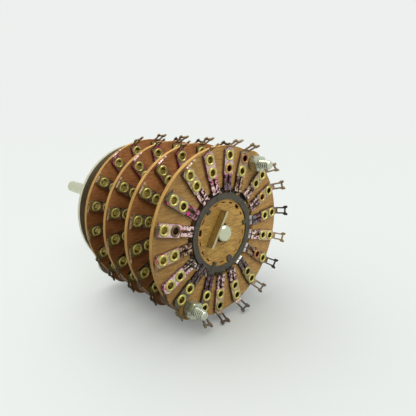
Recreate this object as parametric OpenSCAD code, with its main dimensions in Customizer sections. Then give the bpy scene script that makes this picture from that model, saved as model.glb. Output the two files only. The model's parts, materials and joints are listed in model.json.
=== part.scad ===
// Rotary wafer switch: insulating decks on two tie studs, worked by one shaft.
// The shaft lies along Y, its knob end towards -Y. The decks stack towards +Y, and Z is up.
// The origin is where the shaft axis meets the front face of the index plate.
// Angles run clockwise from the top, as seen from the rear end of the stack.

/* [Wafers] */
// Diameter of a wafer without its ears
wafer_d = 63.5; // [60:0.5:72]
// Thickness of the laminate of the wafers and rotor discs
laminate_t = 1.6; // [1.2:0.1:2.4]
// Diameter of the round opening in a wafer
wafer_bore_d = 34; // [32:0.2:35]
// Radius of the rounded ear at a tie stud
ear_r = 6.5; // [5.5:0.1:7.5]
// Distance that an ear stands out past the round edge
ear_reach = 1.95; // [1.2:0.05:3]
// Clear distance from the index plate to the first wafer
front_gap = 9.5; // [8.5:0.1:14]
// Clear distance between two neighbouring wafers
deck_gap = 12.7; // [10:0.1:18]

/* [Clips] */
// Number of clips round a wafer, an even number
clip_count = 18; // [12:2:18]
// Angle of the first clip
first_clip_angle = 4.6; // [0:0.1:20]
// Angle by which the clips beside a stud lean away from it
clip_lean = 8; // [6:0.5:9]
// Width of a clip's strip
strip_w = 4.4; // [4.1:0.1:5]
// Thickness of the spring metal of each clip leaf
leaf_t = 0.5; // [0.3:0.05:0.6]
// Distance from the round edge of the wafer to the bend of the lug
strip_margin = 0.85; // [0.6:0.05:1.4]
// Distance from the wafer's opening to the shoulder where the strip narrows
shoulder = 4.8; // [4:0.1:5]
// Length of the taper from the shoulder to the neck, and from the neck to the jaw
neck_taper = 0.6; // [0.4:0.1:1]
// Width of the neck between strip and jaw
neck_w = 3; // [2.6:0.1:3.6]
// Width of the jaw
jaw_w = 3.6; // [3.2:0.1:4.2]
// Width of the slot between the roots of the two fingers of a jaw
jaw_slot_w = 0.9; // [0.6:0.1:1.2]
// Length of the slot
jaw_slot_l = 2.8; // [2:0.1:3.4]
// Width of the slit that runs on from the slot to the tips
jaw_slit_w = 0.4; // [0.3:0.05:0.5]
// Width of the long jaw of the common clip
common_jaw_w = 3.6; // [3:0.1:4.2]
// Gap between the lower tips of a jaw and the edge of the rotor ring
jaw_tip_gap = 0.4; // [0.2:0.05:0.6]
// Distance by which the upper tips of a jaw are shorter than the lower ones
upper_tip_step = 0.7; // [0.2:0.05:0.8]
// Outward flare of a finger at its tip
finger_flare = 0.1; // [0.05:0.05:0.3]

/* [Solder lugs] */
// Length of a lug from its bend
lug_len = 4.8; // [4.4:0.1:7]
// Angle of a lug from the plane of the wafer
lug_bend = 58; // [30:1:85]
// Inner radius of the bend
lug_bend_r = 0.4; // [0.3:0.05:0.8]
// Width across the two rails of a lug
lug_w = 2.8; // [2.4:0.1:3.6]
// Width across the two ears at the end of a lug
lug_ear_w = 4.1; // [3.7:0.1:5]
// Length of the ears
lug_ear_l = 1.7; // [1.3:0.1:2]
// Depth of the notch between the ears
lug_notch = 0.7; // [0.4:0.05:0.9]
// Width of the wire window
lug_window_w = 1.8; // [1.2:0.1:2]
// Length of the wire window
lug_window_l = 2.7; // [2:0.1:3.2]
// Distance from the bend to the wire window
lug_window_start = 0.7; // [0.4:0.1:0.9]

/* [Eyelets] */
// Distance from the round edge of the wafer to the outer eyelet
eyelet_margin = 3.25; // [2.9:0.05:3.6]
// Distance between the two eyelets of a clip
eyelet_pitch = 4.7; // [4.6:0.05:5.2]
// Diameter of an eyelet's hole
eyelet_hole_d = 2.3; // [2:0.1:2.8]
// Wall of an eyelet's barrel
eyelet_wall = 0.25; // [0.15:0.05:0.35]
// Diameter of an eyelet's rolled lip
eyelet_lip_d = 4; // [3.6:0.1:4.4]
// Thickness of an eyelet's flange on the front of the wafer
eyelet_flange_t = 0.3; // [0.2:0.05:0.5]

/* [Tie studs] */
// Diameter of a stud
stud_d = 3.5; // [3:0.1:4]
// Distance from the round edge of the wafer to a stud's axis
stud_margin = 2.45; // [2.2:0.05:2.8]
// Outside diameter of a spacer tube
spacer_d = 6.4; // [5.4:0.1:7.6]
// Diameter of a rear washer
washer_d = 6; // [5.4:0.1:8]
// Thickness of a rear washer
washer_t = 0.6; // [0.4:0.1:1.2]
// Width across the flats of a nut
nut_af = 5.6; // [5.2:0.1:7]
// Thickness of a nut
nut_t = 3.2; // [2:0.1:3.6]
// Turn of a nut from a corner on its wafer's radius
nut_turn = 52; // [0:1:59]
// Length of stud that stands out of its nut
stud_proud = 4.4; // [1.5:0.1:8]
// Bevel at the rear end of a stud
stud_bevel = 0.4; // [0.2:0.05:0.6]

/* [Rotor] */
// Gap between the rotor ring and the wafer's opening
ring_gap = 2; // [1.8:0.05:2.3]
// Width of the rotor ring
ring_w = 2.3; // [2:0.1:2.6]
// Thickness of the rotor ring
ring_t = 0.5; // [0.4:0.05:0.6]
// Distance that the ring stands out past the rotor disc
ring_overhang = 1.4; // [1.2:0.1:1.6]
// Width of the ring's contact blade
contact_w = 3; // [2:0.1:3.4]
// Distance from the edge of the rotor disc to the circle of slits
slit_margin = 2.2; // [2:0.1:2.6]
// Length of a slit
slit_l = 1.9; // [1.5:0.1:2.4]
// Width of a slit
slit_w = 0.45; // [0.4:0.05:0.7]
// Angle of the first slit
slit_angle = 1.4; // [0:0.1:20]
// Width of a ring tab
tab_w = 1.5; // [1:0.1:1.6]
// Diameter of a large round ring tab
round_tab_d = 2.6; // [2.2:0.1:3.2]
// Gap round the shaft in a rotor disc
rotor_bore_gap = 0.4; // [0.2:0.05:0.6]

/* [Shaft and drive] */
// Diameter of the shaft
shaft_d = 6.35; // [5:0.05:7.4]
// Length of shaft in front of the index plate
shaft_front = 68; // [30:1:90]
// Length of shaft that stands out of the last rotor
shaft_proud = 1.9; // [0.4:0.1:3]
// Bevel at the ends of the shaft
shaft_bevel = 0.5; // [0.2:0.1:1]
// Width of the flat drive blade
drive_w = 14.3; // [10:0.1:16]
// Thickness of the drive blade
drive_t = 1; // [0.8:0.1:1.4]
// Gap between the shaft and the drive blade
drive_gap = 1.32; // [1:0.02:2]
// Length of drive blade that stands out of the last rotor
drive_proud = 3; // [0.5:0.1:4]
// Direction of the drive blade from the shaft
drive_angle = 301.7; // [0:0.1:360]

/* [Index parts] */
// Distance by which the index plate is smaller than a wafer, on the radius
plate_margin = 2.5; // [1:0.1:4]
// Thickness of the index plate
plate_t = 1.6; // [1.2:0.1:2.5]
// Outside diameter of the bushing's threaded barrel
bushing_d = 9.525; // [8.6:0.025:12]
// Length of the barrel in front of the index plate
bushing_len = 9.5; // [6:0.1:14]
// Step from the barrel to the bushing's shoulder, which fills the hole in the index plate
bushing_step = 0.6; // [0.4:0.1:1]
// Width of the flange round the shoulder
bushing_rim = 1.7; // [1:0.1:3]
// Thickness of the bushing's flange
bushing_flange_t = 1.2; // [0.8:0.1:1.6]
// Diameter of an index ball
ball_d = 4; // [3.4:0.1:4.6]
// Depth of a dimple in the index plate
dimple_depth = 0.4; // [0.2:0.05:0.6]
// Width of the index arm
arm_w = 9; // [7.6:0.1:10]
// Thickness of the index arm
arm_t = 1.4; // [1:0.1:1.8]
// Gap between the end of the arm and the spacer tubes
arm_gap = 1.6; // [0.8:0.1:3]
// Width of the leaf spring
spring_w = 7; // [6:0.1:8]
// Thickness of the leaf spring
spring_t = 0.4; // [0.3:0.05:0.6]
// Edge of the hub round the drive blade
hub_edge = 1.5; // [1:0.1:3]
// Thickness of the hub's flange
hub_t = 2.3; // [1.6:0.1:2.6]
// Width of the eye round the shaft in the arm and the leaf spring
bar_eye = 2; // [1.4:0.1:3]
// Wall of the hub's neck
neck_wall = 1.4; // [1:0.1:1.8]
// Width of the shaft's groove, which is the thickness of the retaining ring
groove_w = 0.6; // [0.5:0.05:0.9]
// Depth of the groove
groove_depth = 0.7; // [0.5:0.05:1]
// Height that the retaining ring stands out of the shaft
retainer_rim = 1.1; // [0.8:0.1:1.4]

/* [Fits] */
// Radial gap of the shaft in its bushing
running_gap = 0.04; // [0.02:0.01:0.1]
// Radial gap of a stud, an eyelet or a bushing in its hole
seat_gap = 0.03; // [0.02:0.01:0.08]
// Gap between ring and fingers, between ball and plate, and at the ends of the bushing
contact_gap = 0.1; // [0.06:0.01:0.14]

/* [Hidden] */
$fn = 48;

// Decks and their places along the stack
deck_count = 4;
deck_pitch = deck_gap + laminate_t;
first_deck = plate_t + front_gap;
last_face = first_deck + (deck_count - 1) * deck_pitch + laminate_t;
function deck_face(deck) = first_deck + (deck - 1) * deck_pitch + laminate_t;

// Radii of the deck
wafer_r = wafer_d / 2;
bore_r = wafer_bore_d / 2;
ear_centre = wafer_r + ear_reach - ear_r;
stud_r = stud_d / 2;
stud_place = wafer_r - stud_margin;
outer_eyelet = wafer_r - eyelet_margin;
inner_eyelet = outer_eyelet - eyelet_pitch;
barrel_r = eyelet_hole_d / 2 + eyelet_wall;

// Angles of the clips and studs
pitch_angle = 360 / clip_count;
half_count = clip_count / 2;
clip_before_stud = 1;
contact_clip = half_count + clip_before_stud;
common_clip_index = contact_clip + 1;
function clip_angle(k) = first_clip_angle + k * pitch_angle;
function stud_angle(side) = clip_angle(clip_before_stud + 0.5) + 180 * side;
function lean_sign(k) =
    k % half_count == clip_before_stud ? 1 : k % half_count == clip_before_stud + 1 ? -1 : 0;

// Rotor radii, from the wafer's opening inwards
ring_outer = bore_r - ring_gap;
ring_inner = ring_outer - ring_w;
disc_r = ring_outer - ring_overhang;
slit_r = disc_r - slit_margin;
shaft_r = shaft_d / 2;
drive_place = shaft_r + drive_gap + drive_t / 2;
drive_gap_in_slot = 2 * seat_gap;

// Jaw: the back leaf dips below the ring inside the opening and the top leaf rises above it
edge_gap = 0.1;
dip_run = 0.4;
dip_end = bore_r - edge_gap - dip_run;
bend_shift = leaf_t / 2;
contact_reach = dip_end - bend_shift;
jaw_tip = ring_outer + jaw_tip_gap;
common_tip = disc_r + jaw_tip_gap;
shoulder_r = bore_r + shoulder;
neck_r = shoulder_r - neck_taper;
jaw_r = neck_r - neck_taper;
slot_end = neck_r - jaw_slot_l;
strip_end = wafer_r - strip_margin;
back_end = outer_eyelet + strip_w / 2;
flare_run = 0.5;
rise_run = 1;
rise_end = bore_r - rise_run / 5;
rise_start = rise_end + rise_run;
lug_root = lug_window_start / 2;
section_room = 2 * (ring_t + contact_gap + finger_flare + 2 * leaf_t + lug_bend_r + lug_root);

// Index parts along the shaft
bushing_shoulder_r = bushing_d / 2 + bushing_step;
arm_front = plate_t + bushing_flange_t + contact_gap;
arm_rear = arm_front + arm_t;
ball_r = ball_d / 2;
ball_centre = plate_t + contact_gap / 2 + ball_r;
spring_front = ball_centre + ball_r + seat_gap;
hub_front = spring_front + spring_t;
hub_rear = hub_front + hub_t;
hub_r = norm([drive_place + drive_t / 2, drive_w / 2]) + hub_edge;
neck_outer = shaft_r + neck_wall;
detent_r = stud_place - spacer_d / 2 - arm_gap - arm_w / 2;
arm_angle = clip_angle(4);
plate_r = wafer_r - plate_margin;
drive_rear = last_face + drive_proud;

// Tabs of the ring sit in these slits, and these slits are punched out as empty holes
small_tabs = [4, 10, 16];
round_tabs = [8];
empty_slits = [2, 14];
empty_hole = [2.2, 1.2];
leg_gap = 0.1;

// Colours as seen on the object
laminate_colour = [0.63, 0.45, 0.24];
rotor_colour = [0.66, 0.49, 0.24];
clip_colour = [0.72, 0.62, 0.64];
common_colour = [0.36, 0.37, 0.36];
eyelet_colour = [0.76, 0.70, 0.36];
ring_colour = [0.29, 0.30, 0.31];
zinc_colour = [0.76, 0.78, 0.73];
plate_colour = [0.30, 0.30, 0.26];
shaft_colour = [0.78, 0.78, 0.76];
steel_colour = [0.60, 0.60, 0.60];

// Placing helpers
module along_stack(y) {
    translate([0, y, 0]) rotate([-90, 0, 0]) children();
}

module at_angle(angle) {
    rotate([0, 0, -90 - angle]) children();
}

module at_clip(k) {
    at_angle(clip_angle(k))
        translate([bore_r, 0, 0])
            rotate([0, 0, lean_sign(k) * clip_lean])
                translate([-bore_r, 0, 0])
                    children();
}

module at_studs() {
    for (side = [0, 1])
        at_angle(stud_angle(side)) translate([stud_place, 0, 0]) children();
}

module tube(outer, inner, length) {
    linear_extrude(length)
        difference() {
            circle(r = outer);
            circle(r = inner);
        }
}

function mirrored(half) =
    concat(half, [for (i = [len(half) - 1:-1:0]) [half[i].x, -half[i].y]]);

// Round plate with an ear at each stud, drilled for the studs
module eared_disc(radius) {
    difference() {
        union() {
            circle(r = radius);
            for (side = [0, 1])
                at_angle(stud_angle(side)) translate([ear_centre, 0]) circle(r = ear_r);
        }
        at_studs() circle(r = stud_r + seat_gap);
    }
}

module eyelet_holes() {
    for (place = [outer_eyelet, inner_eyelet])
        translate([place, 0]) circle(r = barrel_r + seat_gap);
}

// Fixed pieces
module index_plate() {
    color(plate_colour)
        along_stack(0)
            difference() {
                linear_extrude(plate_t)
                    difference() {
                        eared_disc(plate_r);
                        circle(r = bushing_shoulder_r + seat_gap);
                    }
                for (k = [0:clip_count - 1])
                    at_angle(clip_angle(k))
                        translate([detent_r, 0, plate_t - dimple_depth + ball_r])
                            sphere(r = ball_r);
            }
}

module bushing() {
    color(zinc_colour)
        along_stack(0)
            difference() {
                union() {
                    translate([0, 0, -bushing_len]) cylinder(d = bushing_d, h = bushing_len);
                    cylinder(r = bushing_shoulder_r, h = plate_t);
                    translate([0, 0, plate_t])
                        cylinder(r = bushing_shoulder_r + bushing_rim, h = bushing_flange_t);
                }
                translate([0, 0, -bushing_len - 1])
                    cylinder(r = shaft_r + running_gap, h = bushing_len + plate_t + bushing_flange_t + 2);
            }
}

module tie_studs() {
    length = last_face + washer_t + nut_t + stud_proud;
    color(zinc_colour)
        along_stack(0)
            at_studs() {
                cylinder(r = stud_r, h = length - stud_bevel);
                translate([0, 0, length - stud_bevel])
                    cylinder(r1 = stud_r, r2 = stud_r - stud_bevel, h = stud_bevel);
            }
}

module front_spacers() {
    color(steel_colour)
        along_stack(plate_t)
            at_studs() tube(spacer_d / 2, stud_r + seat_gap, front_gap);
}

module deck_spacers() {
    color(steel_colour)
        for (deck = [1:deck_count - 1])
            along_stack(deck_face(deck))
                at_studs() tube(spacer_d / 2, stud_r + seat_gap, deck_gap);
}

module stud_washers() {
    color(zinc_colour)
        along_stack(last_face)
            at_studs() tube(washer_d / 2, stud_r + seat_gap, washer_t);
}

module stud_nuts() {
    corner_r = nut_af / 2 / cos(30);
    bevel = corner_r - nut_af / 2;
    color(zinc_colour)
        along_stack(last_face + washer_t)
            at_studs()
                difference() {
                    intersection() {
                        rotate([0, 0, nut_turn]) cylinder(r = corner_r, h = nut_t, $fn = 6);
                        cylinder(r1 = corner_r + nut_t - bevel / 2, r2 = corner_r - bevel / 2, h = nut_t);
                    }
                    translate([0, 0, -1]) cylinder(r = stud_r + seat_gap, h = nut_t + 2);
                }
}

module stator_wafer(deck) {
    color(laminate_colour)
        along_stack(deck_face(deck) - laminate_t)
            linear_extrude(laminate_t)
                difference() {
                    eared_disc(wafer_r);
                    circle(r = bore_r);
                    for (k = [0:clip_count - 1])
                        at_clip(k) eyelet_holes();
                }
}

// Plan of a leaf, from the points of its outer end to past the tips of its two fingers
module leaf_plan(outer_half, tip_r, finger_w) {
    plan_tip = tip_r - leaf_t;
    half = concat(outer_half, [
        [shoulder_r, strip_w / 2], [neck_r, neck_w / 2], [jaw_r, finger_w / 2], [plan_tip, finger_w / 2]
    ]);
    difference() {
        polygon(mirrored(half));
        translate([neck_r, 0]) circle(d = jaw_slot_w);
        translate([slot_end, -jaw_slot_w / 2]) square([jaw_slot_l, jaw_slot_w]);
        translate([plan_tip - leaf_t, -jaw_slit_w / 2])
            square([neck_r - plan_tip + leaf_t, jaw_slit_w]);
        eyelet_holes();
    }
}

// Sheet whose plan is the first child, bent to the second, a section in the plane of radius and height
module bent_leaf() {
    intersection() {
        translate([0, 0, -section_room / 2]) linear_extrude(section_room) children(0);
        rotate([90, 0, 0]) linear_extrude(2 * strip_w, center = true) children(1);
    }
}

function sheet_section(line) =
    concat(line, [for (i = [len(line) - 1:-1:0]) line[i] + [0, leaf_t]]);

// Lower leaf: flat on the wafer, its fingers dip to run under the ring
module clip_back(tip_r, finger_w) {
    low = -contact_gap - leaf_t;
    underside = [
        [tip_r, low - finger_flare], [tip_r + flare_run, low], [dip_end - bend_shift, low],
        [bore_r - edge_gap - bend_shift, 0], [wafer_r, 0]
    ];
    bent_leaf() {
        leaf_plan([[back_end, strip_w / 2]], tip_r, finger_w);
        polygon(sheet_section(underside));
    }
}

// Upper leaf: flat on the lower one, its fingers rise to run over the ring and its outer end bends up
module clip_top(tip_r, finger_w) {
    high = ring_t + contact_gap;
    bend_centre = 2 * leaf_t + lug_bend_r;
    underside = [
        [tip_r, high + finger_flare], [tip_r + flare_run, high], [rise_end, high],
        [rise_start, leaf_t], [strip_end, leaf_t]
    ];
    outer_half = [
        [strip_end + bend_centre + lug_root, lug_w / 2], [strip_end, lug_w / 2],
        [strip_end - (strip_w - lug_w) / 2, strip_w / 2]
    ];
    bent_leaf() {
        leaf_plan(outer_half, tip_r, finger_w);
        union() {
            polygon(sheet_section(underside));
            translate([strip_end, bend_centre]) lug_bend_section();
        }
    }
    translate([strip_end, 0, bend_centre])
        rotate([0, -lug_bend, 0])
            translate([0, 0, -lug_bend_r - leaf_t])
                linear_extrude(leaf_t) lug_plan();
}

// Bend of the lug about its centre, and the root of the lug after it
module lug_bend_section() {
    bend_outer = lug_bend_r + leaf_t;
    wedge = 2 * bend_outer;
    intersection() {
        difference() {
            circle(r = bend_outer);
            circle(r = lug_bend_r);
        }
        polygon([[0, 0], [0, -wedge], wedge * [sin(lug_bend), -cos(lug_bend)]]);
    }
    rotate(lug_bend) translate([0, -bend_outer]) square([lug_root, leaf_t]);
}

// Solder lug: two rails round a wire window, with a fishtail of two ears
module lug_plan() {
    half = [
        [0, lug_w / 2], [lug_len - lug_ear_l - (lug_ear_w - lug_w) / 4, lug_w / 2],
        [lug_len - lug_ear_l + (lug_ear_w - lug_w) / 4, lug_ear_w / 2], [lug_len, lug_ear_w / 2],
        [lug_len, lug_ear_w / 3], [lug_len - lug_notch, lug_ear_w / 5]
    ];
    difference() {
        polygon(mirrored(half));
        translate([lug_window_start, -lug_window_w / 2]) square([lug_window_l, lug_window_w]);
    }
}

module terminal_clips(deck) {
    color(clip_colour)
        along_stack(deck_face(deck))
            for (k = [0:clip_count - 1])
                if (k != common_clip_index)
                    at_clip(k) clip_top(jaw_tip + upper_tip_step, jaw_w);
}

module common_clip(deck) {
    color(common_colour)
        along_stack(deck_face(deck))
            at_clip(common_clip_index) clip_top(common_tip, common_jaw_w);
}

module clip_backs(deck) {
    color(clip_colour)
        along_stack(deck_face(deck))
            for (k = [0:clip_count - 1])
                at_clip(k)
                    if (k == common_clip_index) clip_back(common_tip, common_jaw_w);
                    else clip_back(jaw_tip, jaw_w);
}

// Hollow rivet with a flat flange in front of the wafer and a rolled lip on the clip
module eyelet() {
    hole_r = eyelet_hole_d / 2;
    lip_r = (eyelet_lip_d / 2 - hole_r) / 2;
    clip_face = 2 * leaf_t;
    rotate_extrude() {
        translate([hole_r, -laminate_t - eyelet_flange_t])
            square([eyelet_wall, laminate_t + eyelet_flange_t + clip_face + lip_r / 2]);
        translate([hole_r, -laminate_t - eyelet_flange_t])
            square([eyelet_lip_d / 2 - hole_r, eyelet_flange_t]);
        intersection() {
            translate([hole_r + lip_r, clip_face]) circle(r = lip_r);
            translate([hole_r, clip_face]) square(2 * lip_r);
        }
    }
}

module eyelets(deck) {
    color(eyelet_colour)
        along_stack(deck_face(deck))
            for (k = [0:clip_count - 1])
                at_clip(k)
                    for (place = [outer_eyelet, inner_eyelet])
                        translate([place, 0, 0]) eyelet();
}

// Turning pieces
module shaft() {
    rear = last_face + shaft_proud;
    groove_front = -bushing_len - contact_gap - groove_w;
    color(shaft_colour)
        along_stack(0)
            rotate_extrude()
                polygon([
                    [0, -shaft_front], [shaft_r - shaft_bevel, -shaft_front],
                    [shaft_r, -shaft_front + shaft_bevel], [shaft_r, groove_front],
                    [shaft_r - groove_depth, groove_front], [shaft_r - groove_depth, groove_front + groove_w],
                    [shaft_r, groove_front + groove_w], [shaft_r, rear - shaft_bevel],
                    [shaft_r - shaft_bevel, rear], [0, rear]
                ]);
}

module retaining_ring() {
    opening = 70;
    color(steel_colour)
        along_stack(-bushing_len - contact_gap - groove_w)
            rotate([0, 0, opening / 2])
                rotate_extrude(angle = 360 - opening)
                    translate([shaft_r - groove_depth + seat_gap, 0])
                        square([groove_depth + retainer_rim - seat_gap, groove_w]);
}

// Bar with round ends and a round middle, bored for what it sits on
module round_bar(reach, width, bore) {
    difference() {
        union() {
            square([2 * reach, width], center = true);
            circle(r = bore + bar_eye);
            for (side = [-1, 1])
                translate([side * reach, 0]) circle(d = width);
        }
        circle(r = bore);
    }
}

module index_arm() {
    color(steel_colour)
        along_stack(arm_front)
            at_angle(arm_angle)
                linear_extrude(arm_t)
                    difference() {
                        round_bar(detent_r, arm_w, shaft_r + seat_gap);
                        for (side = [-1, 1])
                            translate([side * detent_r, 0]) circle(r = ball_r + seat_gap);
                    }
}

module index_balls() {
    color(steel_colour)
        along_stack(ball_centre)
            at_angle(arm_angle)
                for (side = [-1, 1])
                    translate([side * detent_r, 0, 0]) sphere(r = ball_r);
}

module index_spring() {
    color(steel_colour)
        along_stack(spring_front)
            at_angle(arm_angle)
                linear_extrude(spring_t) round_bar(detent_r, spring_w, neck_outer + seat_gap);
}

module drive_slot(gap) {
    at_angle(drive_angle)
        translate([drive_place, 0]) square([drive_t + 2 * gap, drive_w + 2 * gap], center = true);
}

module index_hub() {
    color(steel_colour)
        along_stack(0)
            difference() {
                union() {
                    translate([0, 0, arm_rear]) cylinder(r = neck_outer, h = hub_rear - arm_rear);
                    translate([0, 0, hub_front]) cylinder(r = hub_r, h = hub_t);
                }
                translate([0, 0, arm_rear - 1])
                    cylinder(r = shaft_r + seat_gap, h = hub_rear - arm_rear + 2);
                translate([0, 0, hub_front - 1])
                    linear_extrude(hub_t + 2) drive_slot(seat_gap);
            }
}

module drive_blade() {
    color(shaft_colour)
        along_stack(hub_front)
            linear_extrude(drive_rear - hub_front) drive_slot(0);
}

module rotor_disc(deck) {
    color(rotor_colour)
        along_stack(deck_face(deck) - laminate_t)
            linear_extrude(laminate_t)
                difference() {
                    circle(r = disc_r);
                    circle(r = shaft_r + rotor_bore_gap);
                    drive_slot(drive_gap_in_slot);
                    for (k = [0:clip_count - 1])
                        at_slit(k) square([slit_w, slit_l], center = true);
                    for (k = empty_slits)
                        at_slit(k) square([empty_hole.y, empty_hole.x], center = true);
                }
}

module at_slit(k) {
    at_angle(slit_angle + k * pitch_angle) translate([slit_r, 0, 0]) children();
}

// Contact ring with one blade, held to its disc by tabs whose legs pass through the slits
module rotor_ring(deck) {
    tab_reach = ring_inner - slit_r + ring_w / 2;
    leg = [slit_w - leg_gap, tab_w];
    color(ring_colour)
        along_stack(deck_face(deck)) {
            linear_extrude(ring_t) {
                difference() {
                    circle(r = ring_outer);
                    circle(r = ring_inner);
                }
                at_angle(clip_angle(contact_clip))
                    translate([ring_inner, -contact_w / 2]) square([contact_reach - ring_inner, contact_w]);
                for (k = concat(small_tabs, round_tabs))
                    at_slit(k) translate([-leg.x / 2, -tab_w / 2]) square([tab_reach, tab_w]);
                for (k = round_tabs)
                    at_slit(k) circle(d = round_tab_d);
            }
            for (k = concat(small_tabs, round_tabs))
                at_slit(k)
                    translate([-leg.x / 2, -leg.y / 2, -laminate_t])
                        cube([leg.x, leg.y, laminate_t + ring_t / 2]);
        }
}

index_plate();
bushing();
tie_studs();
front_spacers();
deck_spacers();
stud_washers();
stud_nuts();
stator_wafer(1);  // stator_wafer_1
stator_wafer(2);  // stator_wafer_2
stator_wafer(3);  // stator_wafer_3
stator_wafer(4);  // stator_wafer_4
terminal_clips(1);  // terminal_clips_1
terminal_clips(2);  // terminal_clips_2
terminal_clips(3);  // terminal_clips_3
terminal_clips(4);  // terminal_clips_4
common_clip(1);  // common_clip_1
common_clip(2);  // common_clip_2
common_clip(3);  // common_clip_3
common_clip(4);  // common_clip_4
clip_backs(1);  // clip_backs_1
clip_backs(2);  // clip_backs_2
clip_backs(3);  // clip_backs_3
clip_backs(4);  // clip_backs_4
eyelets(1);  // eyelets_1
eyelets(2);  // eyelets_2
eyelets(3);  // eyelets_3
eyelets(4);  // eyelets_4
shaft();
retaining_ring();
index_arm();
index_balls();
index_spring();
index_hub();
drive_blade();
rotor_disc(1);  // rotor_disc_1
rotor_disc(2);  // rotor_disc_2
rotor_disc(3);  // rotor_disc_3
rotor_disc(4);  // rotor_disc_4
rotor_ring(1);  // rotor_ring_1
rotor_ring(2);  // rotor_ring_2
rotor_ring(3);  // rotor_ring_3
rotor_ring(4);  // rotor_ring_4
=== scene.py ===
"""Looks for a rotary wafer switch: finishes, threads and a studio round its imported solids."""

from __future__ import annotations

import json
import logging
import math
from dataclasses import dataclass
from enum import Enum
from typing import Callable, Union

import bmesh
import bpy
from mathutils import Euler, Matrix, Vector

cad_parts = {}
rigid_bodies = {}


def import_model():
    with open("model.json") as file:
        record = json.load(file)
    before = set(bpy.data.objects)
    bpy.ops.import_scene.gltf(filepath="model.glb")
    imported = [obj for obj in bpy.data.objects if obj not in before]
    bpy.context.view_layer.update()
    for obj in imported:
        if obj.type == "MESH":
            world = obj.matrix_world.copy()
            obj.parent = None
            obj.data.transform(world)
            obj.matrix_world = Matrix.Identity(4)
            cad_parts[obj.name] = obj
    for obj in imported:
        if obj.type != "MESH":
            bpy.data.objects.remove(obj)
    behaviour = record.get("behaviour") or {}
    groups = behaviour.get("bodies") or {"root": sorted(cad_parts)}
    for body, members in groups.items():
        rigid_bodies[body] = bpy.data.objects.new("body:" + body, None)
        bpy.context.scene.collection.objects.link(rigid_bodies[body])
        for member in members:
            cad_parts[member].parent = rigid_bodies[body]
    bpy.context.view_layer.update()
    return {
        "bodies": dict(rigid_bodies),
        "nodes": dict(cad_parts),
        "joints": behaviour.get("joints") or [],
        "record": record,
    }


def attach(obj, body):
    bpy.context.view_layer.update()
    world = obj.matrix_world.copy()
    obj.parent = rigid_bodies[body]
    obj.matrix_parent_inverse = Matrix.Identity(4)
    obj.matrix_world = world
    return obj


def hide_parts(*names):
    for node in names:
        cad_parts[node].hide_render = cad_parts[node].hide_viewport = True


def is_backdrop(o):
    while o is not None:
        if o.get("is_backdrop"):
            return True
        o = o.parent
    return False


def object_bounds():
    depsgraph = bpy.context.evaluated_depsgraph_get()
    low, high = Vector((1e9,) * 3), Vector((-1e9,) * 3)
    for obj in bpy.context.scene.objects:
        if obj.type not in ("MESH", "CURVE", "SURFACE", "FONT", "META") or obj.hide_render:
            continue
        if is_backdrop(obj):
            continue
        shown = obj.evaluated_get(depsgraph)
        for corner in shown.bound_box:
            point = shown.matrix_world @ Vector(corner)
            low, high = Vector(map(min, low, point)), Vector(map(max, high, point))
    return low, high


LOG = logging.getLogger("wafer_switch")
MM = 0.001

Colour = tuple[float, float, float]
Span = tuple[float, float]
Wire = Union[bpy.types.NodeSocket, float, int, tuple]

DECKS = (1, 2, 3, 4)
CLIP_COUNT = 18
FIRST_CLIP_DEG = 4.6
FIRST_FACE_MM = 12.7
DECK_PITCH_MM = 14.3
DECK_REACH_MM = 4.6
BEFORE_LAST_DECK = 2.5
EYELET_SPLIT_MM = 26.15
STUD_CIRCLE_MM = 29.3
STUD_ANGLES_DEG = (34.6, 214.6)
SHARP_DEG = 50.0


def display(red: int, green: int, blue: int) -> Colour:
    """Turns a colour as a screen shows it, 0 to 255, into the renderer's linear numbers."""
    shares = (level / 255.0 for level in (red, green, blue))
    return tuple(share / 12.92 if share <= 0.04045 else ((share + 0.055) / 1.055) ** 2.4 for share in shares)


class Tone(Enum):
    """Colours of plated and tarnished metal; the soot-black one also serves as painted shade, and pale ones
    as painted glints on the clips.
    """

    SILVER = display(240, 238, 232)
    SHELL = display(236, 206, 200)
    PINK = display(214, 178, 174)
    ROSE = display(186, 116, 134)
    MAGENTA = display(206, 56, 132)
    VIOLET = display(122, 102, 122)
    SLATE = display(112, 114, 114)
    SAND = display(194, 168, 136)
    TAN = display(162, 134, 96)
    BRONZE = display(120, 94, 68)
    OLIVE = display(108, 98, 72)
    MOSS = display(132, 130, 104)
    UMBER = display(70, 57, 39)
    # Soot-black tarnish, also used as painted shade under the jaws, on the strips' side walls and in the
    # rotor's holes.
    SOOT_AND_SHADE = display(32, 24, 20)
    RUST = display(96, 44, 36)
    BRASS = display(206, 196, 108)
    GOLD = display(196, 158, 84)
    AMBER = display(168, 144, 68)
    OCHRE = display(150, 132, 56)
    COPPER = display(176, 122, 74)
    DUSK = display(112, 88, 56)
    STRAW = display(172, 160, 88)


@dataclass(frozen=True)
class ClipTones:
    """Tones of one clip: strip, jaw, painted glints, lug and the jaw's tip, which is a painted shadow on most
    clips and a painted glint on a few, and its share of blush at rim and neck.
    """

    strip: Tone
    jaw: Tone
    glint: Tone
    lug: Tone
    # The tip tone paints the low inner tip of the jaw: painted shadow where dark, painted glint where silver.
    tip: Tone = Tone.SOOT_AND_SHADE
    rim_blush: float = 0.0
    neck_blush: float = 0.0


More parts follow.
